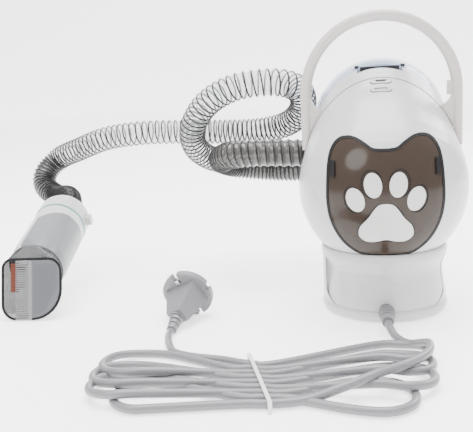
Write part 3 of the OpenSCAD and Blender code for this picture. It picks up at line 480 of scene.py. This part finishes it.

# Painted shade: dark lines standing in for the shadowed gaps where the pads pass through the window.
SHADE_LINE_R, SHADE_LINE_OUT, SHADE_LINE_SPREAD, SHADE_LINE_FROM_Y = 0.42, 0.12, 0.3, -70
gap_shades = []
toes = [(sx * 26.5, 122.5, sx * -20) for sx in (-1, 1)]
toes += [(sx * 11, 135.5, sx * -8) for sx in (-1, 1)]
for i, (cx, cz, tilt) in enumerate(toes):
    pts = [on_body((x, SHADE_LINE_FROM_Y, z), SHADE_LINE_OUT) for x, z in ellipse(cx, cz, 8.15, 11.35, tilt)]
    gap_shades.append(ring_tube("toe_gap_shade_%d" % i, pts, SHADE_LINE_R))
palm = [(0, 84.8), (9, 82.8), (18, 83.2), (24, 89), (22.5, 98), (15.5, 106), (10.5, 113.5), (5, 118.5)]
palm = palm + [(-x, z) for x, z in reversed(palm[1:])]
palm_mid = Vector((0, 98, 0))
palm_pts = []
for i in range(len(palm)):
    corners = [Vector((*palm[(i + k) % len(palm)], 0)) for k in (-1, 0, 1, 2)]
    for k in range(4):
        q = between(*corners, k / 4)
        q = q + SHADE_LINE_SPREAD * (q - palm_mid).normalized()
        palm_pts.append(on_body((q.x, SHADE_LINE_FROM_Y, q.y), SHADE_LINE_OUT))
gap_shades.append(ring_tube("palm_gap_shade", palm_pts, SHADE_LINE_R))
# These dark rings are painted shade in the pad gaps, carried on the face cover.
for rim in gap_shades:
    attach(paint(rim, RUBBER), "face_cover")

# Buttons: the gap round each, and a plain bar and ring on their faces.
SLOPE = math.radians(33.4)
BUTTON_AT = Vector((0, -1, 219.2))


def on_button(u, v, w):
    """Point in the buttons' sloping frame, in mm."""
    return BUTTON_AT + Vector((u, v * math.cos(SLOPE) - w * math.sin(SLOPE),
                               v * math.sin(SLOPE) + w * math.cos(SLOPE)))


def stadium(length, width, v, w, n=12):
    """Points round a long rounded outline on the buttons' slope, w above it."""
    half = (length - width) / 2
    out = [(half + width / 2 * math.cos(a), width / 2 * math.sin(a))
           for a in [math.pi * (i / n - 0.5) for i in range(n + 1)]]
    out += [(-x, -y) for x, y in out]
    return [on_button(x, y + v, w) for x, y in out]


POWER_V, MODE_V = 6.75, -6.75
MARK_W = 0.62
for body, v in (("power_button", POWER_V), ("mode_button", MODE_V)):
    gap = ring_tube(body + "_gap", [on_body(q, 0.05) for q in stadium(20.3, 7.8, v, 0)], 0.3)
    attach(paint(gap, GAP), "housing")
bar = ring_tube("power_mark", stadium(9.0, 2.0, POWER_V + 0.6, MARK_W), 0.45)
dash = ring_tube("power_mark_bar", stadium(7.2, 0.8, POWER_V + 0.6, MARK_W), 0.45)
oval = ring_tube("mode_mark", stadium(11.0, 3.0, MODE_V, MARK_W), 0.32)
for piece, body in ((bar, "power_button"), (dash, "power_button"), (oval, "mode_button")):
    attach(paint(piece, MARK), body)

# ---------------------------------------------------------------- floor and light
bpy.ops.mesh.primitive_plane_add(size=8, location=(0, 0.6, -0.0002))
floor = bpy.context.object
floor.name = "floor"
bpy.ops.mesh.primitive_plane_add(size=8, location=(0, 4.4, 3.9), rotation=(math.pi / 2, 0, 0))
backdrop = bpy.context.object
backdrop.name = "backdrop"
paint(floor, material("floor", (0.93, 0.93, 0.93), 0.6, shade=0.004, shade_size=2))
shine = floor.data.materials[0].node_tree.nodes["Principled BSDF"].inputs
shine["Emission Color"].default_value = (1, 1, 1, 1)
shine["Emission Strength"].default_value = 1.6
paint(backdrop, floor.data.materials[0])
world = bpy.data.worlds.new("world")
bpy.context.scene.world = world
world.use_nodes = True
world.node_tree.nodes["Background"].inputs["Color"].default_value = (1, 1, 1, 1)
world.node_tree.nodes["Background"].inputs["Strength"].default_value = 1.5


def soft_light(name, at, target, size, power):
    data = bpy.data.lights.new(name, "AREA")
    data.shape, data.size, data.energy = "DISK", size, power
    light = bpy.data.objects.new(name, data)
    bpy.context.scene.collection.objects.link(light)
    light.location = at
    light.rotation_mode = "QUATERNION"
    light.rotation_quaternion = (Vector(target) - Vector(at)).to_track_quat("-Z", "Y")


soft_light("top", (-0.1, 0.1, 2.1), (-0.1, 0.1, 0), 2.0, 110)
soft_light("key", (-1.0, -1.0, 1.3), (-0.05, 0, 0.1), 0.9, 14)
soft_light("back", (0.9, 1.0, 1.0), (0, 0, 0.1), 0.8, 14)
